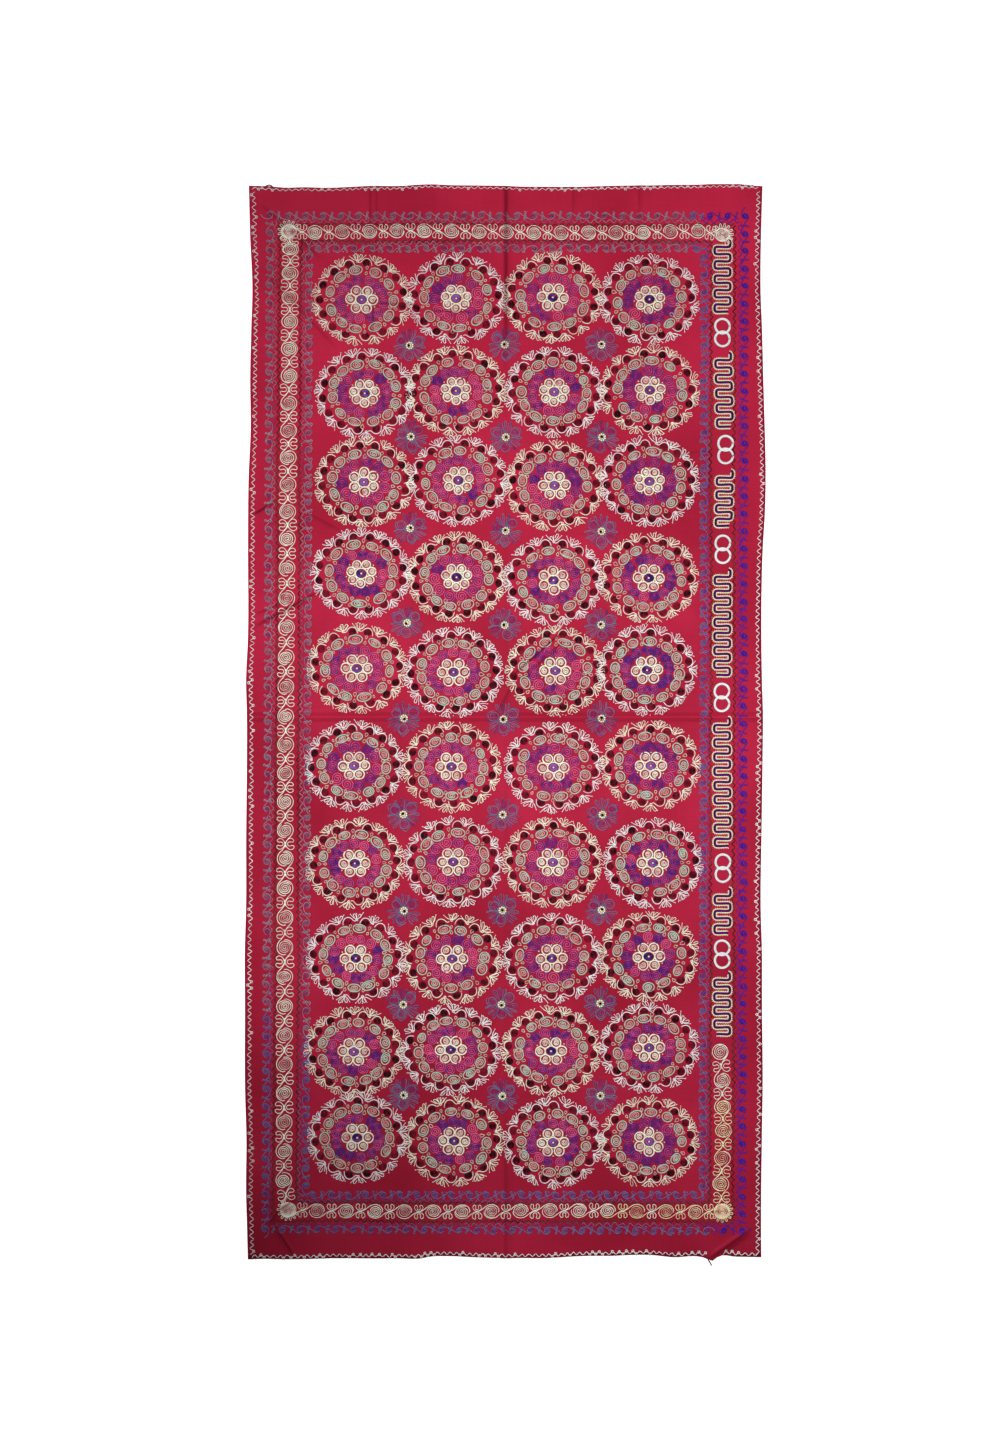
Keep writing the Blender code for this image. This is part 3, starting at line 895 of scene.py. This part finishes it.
for rowIndex in range(9):
    for columnIndex in range(3):
        corners = [(rowIndex + i, columnIndex + j) for i in (0, 1) for j in (0, 1)]
        x = sum(medallionRows[r]["across"][c] for r, c in corners) / 4
        y = sum(medallionRows[r]["up"][c] for r, c in corners) / 4
        makeFlower(x, y, 0.6)
print("blue flowers done")


# Borders: each line of the border has its own four corners, because the cloth has pulled out of square

borders = {
    "outerVine": {"corners": ((-689, 1487), (703, 1486), (695, -1488), (-702, -1483)), "side": 1},
    "outerWave": {"corners": ((-672, 1469), (686, 1468), (681, -1468), (-689, -1468))},
    "outerOlive": {"corners": ((-661, 1460), (672, 1459), (669, -1459), (-678, -1459))},
    "innerOlive": {"corners": ((-599, 1412), (604, 1412), (601, -1405), (-609, -1405))},
    "innerWave": {"corners": ((-590, 1405), (595, 1405), (592, -1398), (-602, -1398))},
    "innerVine": {"corners": ((-574, 1390), (583, 1390), (579, -1382), (-584, -1382)), "side": -1},
}
waveLine = {"swing": 4.8, "period": 21.8, "width": 2.1}
oliveLine = {"swing": 4.4, "period": 20.3, "width": 3.0}
vine = {"pitch": 51.5, "radius": 10.6, "turns": 2.3, "width": 2.2, "thicker": 1.25}   # thicker at the right


def sidesOf(corners):
    # The four sides in turn: top to the right, right side down, bottom to the left, left side up
    for index in range(4):
        start, end = np.array(corners[index], float), np.array(corners[(index + 1) % 4], float)
        yield index, start, end


def waveSide(name, start, end, line, tone=None, sharp=False):
    length = np.hypot(*(end - start))
    along = (end - start) / length
    out = np.array([-along[1], along[0]])
    periods = max(int(round(length / line["period"])), 1)
    perPeriod = 4 if sharp else 6
    run = np.linspace(0, 1, periods * perPeriod + 1)
    phase = run * periods
    swing = np.abs((phase * 2) % 2 - 1) * 2 - 1 if sharp else np.sin(phase * 2 * math.pi)
    swing = swing * (1 + 0.2 * np.sin(phase * 1.7)) + 0.25 * np.sin(phase * 0.31)
    drift = 1.2 * np.sin(run * length / 160 + start[0])
    path = start + run[:, None] * (end - start) + out * (swing * line["swing"] + drift)[:, None]
    # Rows end and start again every few stitches, so that the tone of the thread varies
    chunk = perPeriod * 5
    for first in range(0, len(path) - 1, chunk):
        stitchRow(name, path[first:first + chunk + 1], line["width"], tone)


def vineUnit(name, x, y, turn, side, pitch):
    # A spiral, with one stem coming over it from the last cluster and one leaving for the next
    size = vine
    radius = size["radius"] + wobble(0.6)
    stem = [(-pitch / 2, 2 * side), (-pitch * 0.36, -radius * 0.6 * side), (-radius * 0.75, -radius * side)]
    spiral = spiralPath(0, 0, radius, size["turns"], -math.pi / 2 * side, 0.95, 0.0, side, 1.6, 12)
    tone = 0.6 + 0.4 * hand.random()
    width = size["width"] * (1 if name == "greyVines" else size["thicker"])
    stitchRow(name, placed(np.vstack([smoothPath(stem, 3), spiral[:9]]), x, y, turn), width, tone)
    stitchRow(name, placed(spiral[8:], x, y, turn), width + 0.6, 0.5 * hand.random())
    link = [(0, radius * side), (radius * 0.9, radius * 0.85 * side), (pitch * 0.36, radius * 0.1 * side),
            (pitch / 2, -2 * side)]
    stitchRow(name, placed(smoothPath(link, 3), x, y, turn), width, tone)


def vineCluster(name, x, y, turn, side):
    # Three small curls and knots where one stem ends and the next begins
    tone = 0.7 + 0.3 * hand.random()
    for step in (-1, 0, 1):
        curl = np.array([(-3, -1.5), (0.5, -3.4), (3.4, 0), (0.5, 3), (-2, 0.5)])
        local = smoothPath(curl + (step * 2.0 * side, step * 8.0), 2)
        stitchRow(name, placed(local, x, y, turn + wobble(0.2)), 2.6, tone)
    stitchKnot(name, *placed([(6 * side, -8)], x, y, turn)[0], 2.9, tone)


def vineThread(x, y, outer):
    # The vines' thread turns violet at the right and bluer at the foot
    if outer and x > 560 + hand.random() * 60:
        return "violetVines"
    if y < -1200 or x > 540 or (x < -540 and y < -700 - hand.random() * 300):
        return "blueVines"
    return "greyVines"


def makeVine(border, outer):
    # On the outer vine a spiral sits on every corner, on the inner one a cluster
    for index, start, end in sidesOf(border["corners"]):
        length = np.hypot(*(end - start))
        along = (end - start) / length
        turn = math.atan2(along[1], along[0])
        count = int(round(length / vine["pitch"]))
        pitch = length / count
        for step in range(count):
            first = start + along * step * pitch + (wobble(0.8), wobble(0.8))
            second = start + along * (step + 0.5) * pitch + (wobble(0.8), wobble(0.8))
            spiral, cluster = (first, second) if outer else (second, first)
            vineUnit(vineThread(*spiral, outer), *spiral, turn, border["side"], pitch)
            vineCluster(vineThread(*cluster, outer), *cluster, turn, border["side"])


for name, border in borders.items():
    for index, start, end in sidesOf(border["corners"]):
        if name.endswith("Olive"):
            waveSide("oliveZigzags", start, end, oliveLine, sharp=True)
        if name.endswith("Wave"):
            pieces = 12
            for part in range(pieces):
                a = start + (end - start) * part / pieces
                b = start + (end - start) * (part + 1) / pieces
                middle = (a + b) / 2
                waveSide(vineThread(*middle, name.startswith("outer")), a, b, waveLine)
    if name.endswith("Vine"):
        makeVine(border, name.startswith("outer"))
print("vines and zigzags done")


# The main band of spirals tied by double curls

band = {
    "turns": 3.4,
    "coil": 20.4,       # radius of the coil inside the arcs of the stems
    "row": 3.7,
    "leftStations": ((0, 1388), (3, 1176), (8, 778), (11, 540), (13, 366), (17, 20), (22, -397), (27, -830),
                     (33, -1339)),
    "leftAcross": ((1440, -628), (105, -642), (-1430, -648)),
    "topAcross": (-557, 565),
    "topUp": 1439,
    "bottomAcross": (-551, 557),
    "bottomUp": -1430,
    "rightPlaces": ((630, -963), (636, -1046), (637, -1124), (640, -1194), (637, -1274), (632, -1350)),
    "corners": ((-633, 1440), (637, 1431), (636, -1430), (-635, -1425)),
}

heartSide = [(0, 1.6), (5, 2.6), (11, 6), (15.4, 12), (15.6, 18.5), (12, 23.4), (7.6, 24.4), (4.7, 21.2),
             (5.2, 16.5), (5.6, 12), (4.3, 8.4), (0, 6.4)]
exitStem = [(-19.5, -3), (-21.4, 5), (-16, 16.5), (-6, 22.4), (5, 22.6), (15, 18), (23, 10.5), (31, 4.2),
            (38, 0.8), (41.5, 0)]


def bandThread(x, y):
    # The band's cream thread turns yellow toward the lower right
    return "yellowDiscs" if x - y * 0.8 > 1300 + 400 * hand.random() else "borderDiscs"


def makeDisc(x, y, wide, high, closed=False):
    # A coil of stitches, whose outline is the arcs of the two stems that pass it
    name = bandThread(x, y)
    tone = 0.35 + wobble(0.2)
    share = band["coil"] / 22.6
    coil = spiralPath(x, y, wide * share, band["turns"], hand.random() * 6, high / wide, 0.0,
                      hand.choice((-1, 1)), 1.6, 15)
    stitchRow(name, coil[:16], band["row"], clipped(tone + 0.25))
    stitchRow(name, coil[15:], band["row"], clipped(tone))
    if closed:
        stitchRow(name, ringPath(x, y, wide, high, 22), 3.4, 0.8)


def makeHearts(x, y, turn, upright):
    # Two hearts tip to tip, with a thick stroke of stitches through them
    name = bandThread(x, y)
    right = np.array(heartSide, float)
    heart = np.vstack([right, right[-2::-1] * (-1, 1)]) * ((1, 1) if upright else (0.84, 0.84))
    tone = 0.9 + wobble(0.12)
    for half in (0, math.pi):
        size = 1.0 + wobble(0.04)
        outline = smoothPath(heart * (size, size), 2)
        stitchRow(name, placed(outline, x, y, turn + half + wobble(0.06)), 2.7, tone)
    reach = 9 if upright else 6.5
    stroke = [(-reach, -1.5), (0, 0), (reach, 1.5)]
    stitchRow(name, placed(smoothPath(stroke, 3), x, y, turn), 3.8, 1.0, 1.2)


def makeBandRun(places, wide, high, flip):
    for index, place in enumerate(places):
        makeDisc(*place, wide + wobble(0.5), high + wobble(0.5), index in (0, len(places) - 1))
    for first, second in zip(places[:-1], places[1:]):
        first, second = np.array(first, float), np.array(second, float)
        gap = np.hypot(*(second - first))
        turn = math.atan2(*(second - first)[::-1])
        upright = abs(math.cos(turn)) < 0.5
        makeHearts(*(first + second) / 2, turn, upright)
        # A stem leaves one disc over its shoulder, crosses the hearts and passes under the next disc
        name = bandThread(*first)
        stem = smoothPath(exitStem, 2) * (gap / 83, flip * (1.0 if upright else 0.87))
        stitchRow(name, placed(stem, *first, turn), 2.7, 1.0)
        stitchRow(name, placed(-stem, *second, turn), 3.2, 1.1)


def makeCornerFlower(x, y, outward):
    name = bandThread(x, y)
    makeDisc(x, y, 18.5, 18, True)
    turns = np.linspace(-2.2, 2.2, 90)
    reach = 25.5 + 7.0 * np.tanh(2.4 * np.sin(turns * 14))
    stitchRow(name, np.stack([x + reach * np.cos(turns + outward),
                                       y + reach * np.sin(turns + outward)], 1), 3.0, 0.85)


leftCounts = np.array(band["leftStations"], float)
leftPlaces = []
for index in range(34):
    y = float(np.interp(index, leftCounts[:, 0], leftCounts[:, 1]))
    downwards = band["leftAcross"][::-1]
    x = float(np.interp(y, [row[0] for row in downwards], [row[1] for row in downwards]))
    leftPlaces.append((x, y))
topPlaces = [(x, band["topUp"] - 3 * math.sin(x / 150)) for x in np.linspace(*band["topAcross"], 15)]
bottomPlaces = [(x, band["bottomUp"] + 2 * math.sin(x / 130)) for x in np.linspace(*band["bottomAcross"], 14)]
corners = band["corners"]
makeBandRun([corners[0]] + leftPlaces + [corners[3]], 23.0, 20.4, 1)
makeBandRun([corners[0]] + topPlaces + [corners[1]], 22.5, 19.0, 1)
makeBandRun([corners[3]] + bottomPlaces + [corners[2]], 22.3, 19.3, -1)
makeBandRun([*band["rightPlaces"], corners[2]], 22.5, 22.0, 1)
for corner, outward in zip(corners, (135, 45, -45, -135)):
    makeCornerFlower(*corner, math.radians(outward))
print("main band done")


# Right-hand column: pairs of linked rings, with a plain running scroll between them

rightColumn = {
    "rings": ((637, 1144), (646, 801), (638, 509), (635, 75), (638, -425), (636, -677)),
    "ringSize": (21.4, 21.4),
    "ringStep": 18.6,
    "ringRow": 4.4,
    "scrolls": ((1421, 1193), (1090, 856), (744, 566), (454, 129), (20, -372), (-480, -627), (-727, -923)),
    "scrollSwing": 23.0,
    "scrollPeriod": 42.0,
    "edgeOffset": 5.2,
    "picot": 3.4,
    "picotPitch": 5.0,
}


def makeRingPair(x, y):
    size = rightColumn
    for sign in (-1, 1):
        for inset in (-1.6, 1.6):
            ring = ringPath(x, y + sign * size["ringStep"], size["ringSize"][0] + inset,
                            size["ringSize"][1] + inset, 30)
            ring[:, 0] += 0.5 * np.sin(ring[:, 1] / 7 + y)
            stitchRow("whiteRings", ring, size["ringRow"], rise=1.3 if sign > 0 else 1.0)


def offsetPath(path, distance):
    heading = np.gradient(path, axis=0)
    heading /= np.hypot(heading[:, 0], heading[:, 1])[:, None]
    return path + np.stack([-heading[:, 1], heading[:, 0]], 1) * distance


def makeScroll(top, bottom):
    # A generic running scroll: violet core, cream rows beside it, and picots outside those
    size = rightColumn
    margin = size["edgeOffset"] + size["picot"]
    length = top - bottom - 2 * margin
    waves = max(round(length / size["scrollPeriod"] * 2) / 2, 1)
    share = np.linspace(0, 1, int(waves * 26))
    turn = share * waves * 2 * math.pi + 0.5
    swing = np.tanh(1.8 * np.sin(turn)) / math.tanh(1.8)
    y = top - margin - share * length + 0.10 * size["scrollPeriod"] * np.sin(2 * turn)
    ringX = [place[0] for place in size["rings"]][::-1]
    ringY = [place[1] for place in size["rings"]][::-1]
    path = np.stack([np.interp(y, ringY, ringX) + swing * size["scrollSwing"], y], 1)
    stitchRow("serpentCores", path, 6.6, 0.5, 1.0)
    for sign in (-1, 1):
        edge = offsetPath(path, sign * size["edgeOffset"])
        stitchRow("serpentEdges", edge, 3.8, 0.75)
        run = np.concatenate([[0], np.cumsum(np.hypot(*np.diff(edge, axis=0).T))])
        outer = offsetPath(path, sign * margin)
        for place in np.arange(1.5, run[-1], size["picotPitch"]):
            foot = np.array([np.interp(place, run, edge[:, k]) for k in (0, 1)])
            tip = np.array([np.interp(place, run, outer[:, k]) for k in (0, 1)])
            stitchRow("serpentEdges", [foot, (foot + tip) / 2, tip], 2.8, 0.9)


for place in rightColumn["rings"]:
    makeRingPair(*place)
for top, bottom in rightColumn["scrolls"]:
    makeScroll(top, bottom)
print("right-hand column done")


# Hem: a wandering zigzag that holds the turned edge, with a knot loop now and then

hem = {
    "sides": (
        {"side": "top", "inset": 7.0, "swing": 2.8, "period": 19.0, "knots": 0.22, "dim": 0.35},
        {"side": "right", "inset": 10.8, "swing": 5.0, "period": 18.7, "knots": 0.14, "dim": 0.0},
        {"side": "bottom", "inset": 8.0, "swing": 4.0, "period": 19.0, "knots": 0.3, "dim": 0.08},
        {"side": "left", "inset": 13.6, "swing": 5.2, "period": 18.4, "knots": 0.12, "dim": 0.3},
    ),
    "row": 2.8,
    "margin": 14.0,
    "bare": (593, 636),      # along the bottom hem, where the pucker has no stitches
    "looseThreads": (        # each lies partly off the cloth
        {"path": ((593, -1560), (596, -1573), (601, -1581), (605, -1590)), "width": 3.0, "tone": 1.0},
        {"path": ((-704, 1568), (-698, 1574.5), (-690, 1576), (-683, 1573), (-679, 1565)), "width": 2.8,
         "tone": 0.0},
    ),
}


def makeHemSide(side):
    upright = side["side"] in ("left", "right")
    half = (cloth["length"] if upright else cloth["width"]) / 2 - hem["margin"] - 8
    periods = int(2 * half / side["period"])
    place, kinks = -half, []
    for index in range(periods * 2):
        place += side["period"] / 2 * (1 + wobble(0.1))
        kinks.append((place, (1 if index % 2 else -1) * side["swing"] * (1 + wobble(0.14))))
    kinks = np.array(kinks)
    kinks[:, 0] = np.interp(kinks[:, 0], (kinks[0, 0], kinks[-1, 0]), (-half, half))
    path = smoothPath(kinks, 3)
    run, swing = path[:, 0], path[:, 1]
    left, right, bottom, top = edgesAt(run if not upright else np.zeros(1), run if upright else np.zeros(1))
    edge = {"left": left, "right": right, "bottom": bottom, "top": top}[side["side"]]
    inward = 1 if side["side"] in ("left", "bottom") else -1
    line = edge + inward * side["inset"] + swing
    path = np.stack([line, run] if upright else [run, line], 1)
    for first in range(0, len(path) - 1, 24):
        part = path[first:first + 25]
        if side["side"] == "bottom":
            part = part[(part[:, 0] < hem["bare"][0]) | (part[:, 0] > hem["bare"][1])]
        gaps = np.flatnonzero(np.hypot(*np.diff(part, axis=0).T) > 30) + 1
        for stretch in np.split(part, gaps):
            if len(stretch) > 2:
                stitchRow("hemZigzag", stretch, hem["row"], clipped(0.9 - side["dim"] + wobble(0.2)))
    for index in range(3, len(path) - 2, 3):
        if hand.random() < side["knots"]:
            x, y = path[index]
            if side["side"] != "bottom" or not hem["bare"][0] < x < hem["bare"][1]:
                stitchRow("hemZigzag", ringPath(x, y, 3.5, 3.5, 8), 2.6, clipped(1 - side["dim"]))


for side in hem["sides"]:
    makeHemSide(side)
for loose in hem["looseThreads"]:
    stitchRow("looseThreads", smoothPath(loose["path"], 4), loose["width"], loose["tone"], 1.2)
print("hem stitches done")


# Every colour of thread becomes one piece

def finishThreads():
    made = []
    for name, work in stitchWork.items():
        points = np.vstack(work["points"])
        points[:, 2] += heightAt(points) + cloth["thickness"]
        mesh = makeMesh(name, points, np.vstack(work["faces"]), np.vstack(work["uvs"]),
                        np.concatenate(work["tones"]))
        made.append(placePiece(name, mesh, threadMaterial(name, **threadColours[name])))
        print("  ", name, len(mesh.polygons) * 2, "triangles")
    return made


threads = finishThreads()
ground = makeCloth()
print("ground sheet done,", len(ground.data.polygons), "cells")


# Floor, lights and camera

studio = {
    "floorSize": 14.0,
    "floorGlow": 0.6,
    "keyPlace": (0.06, 0.06, 3.2),
    "keyAim": (0.06, 0.06, 0.0),
    "keySize": 1.0,
    "keyPower": 83.0,
    "rakeAngles": (62, -28),     # degrees: down from overhead, and turned from the top of the cloth
    "rakeSoftness": 14,
    "rakePower": 1.42,
    "skyStrength": 0.06,
}


def makeFloor():
    size = studio["floorSize"] / 2
    mesh = bpy.data.meshes.new("floor")
    mesh.from_pydata([(-size, -size, 0), (size, -size, 0), (size, size, 0), (-size, size, 0)], [],
                     [(0, 1, 2, 3)])
    floor = bpy.data.objects.new("floor", mesh)
    floor.location.z = -0.0005
    bpy.context.scene.collection.objects.link(floor)
    material, tree, shader = newMaterial("pale floor")
    shader.inputs["Base Color"].default_value = (0.9, 0.9, 0.9, 1)
    shader.inputs["Roughness"].default_value = 0.9
    shader.inputs["Specular IOR Level"].default_value = 0.1
    shader.inputs["Emission Color"].default_value = (1, 1, 1, 1)
    shader.inputs["Emission Strength"].default_value = studio["floorGlow"]
    mesh.materials.append(material)


def makeLights():
    key = bpy.data.lights.new("key light", "AREA")
    key.shape = "DISK"
    key.size = studio["keySize"]
    key.energy = studio["keyPower"]
    lamp = bpy.data.objects.new("key light", key)
    lamp.location = studio["keyPlace"]
    aim = [a - b for a, b in zip(studio["keyAim"], studio["keyPlace"])]
    level = math.hypot(aim[0], aim[1])
    lamp.rotation_euler = (math.atan2(level, -aim[2]), 0, math.atan2(aim[1], aim[0]) - math.pi / 2)
    lamp.visible_camera = False
    bpy.context.scene.collection.objects.link(lamp)
    rake = bpy.data.lights.new("raking light", "SUN")
    rake.angle = math.radians(studio["rakeSoftness"])
    rake.energy = studio["rakePower"]
    lamp = bpy.data.objects.new("raking light", rake)
    tilt, turn = studio["rakeAngles"]
    lamp.rotation_euler = (math.radians(-tilt), 0, math.radians(-turn))
    bpy.context.scene.collection.objects.link(lamp)
    world = bpy.data.worlds.new("soft sky")
    world.use_nodes = True
    world.node_tree.nodes["Background"].inputs["Color"].default_value = (1, 1, 1, 1)
    world.node_tree.nodes["Background"].inputs["Strength"].default_value = studio["skyStrength"]
    bpy.context.scene.world = world
    bpy.context.scene.view_settings.view_transform = "Standard"


camera = {
    "height": 9.0,
    "frameHigh": 4.2188,    # what the long side of the picture spans on the cloth
    "aim": (-0.003, 0.009),
    "sensor": 36.0,
}


def makeCamera():
    lens = bpy.data.cameras.new("camera")
    lens.sensor_width = camera["sensor"]
    lens.lens = camera["sensor"] * camera["height"] / camera["frameHigh"]
    eye = bpy.data.objects.new("camera", lens)
    eye.location = (*camera["aim"], camera["height"])
    bpy.context.scene.collection.objects.link(eye)
    bpy.context.scene.camera = eye


makeFloor()
makeLights()
makeCamera()
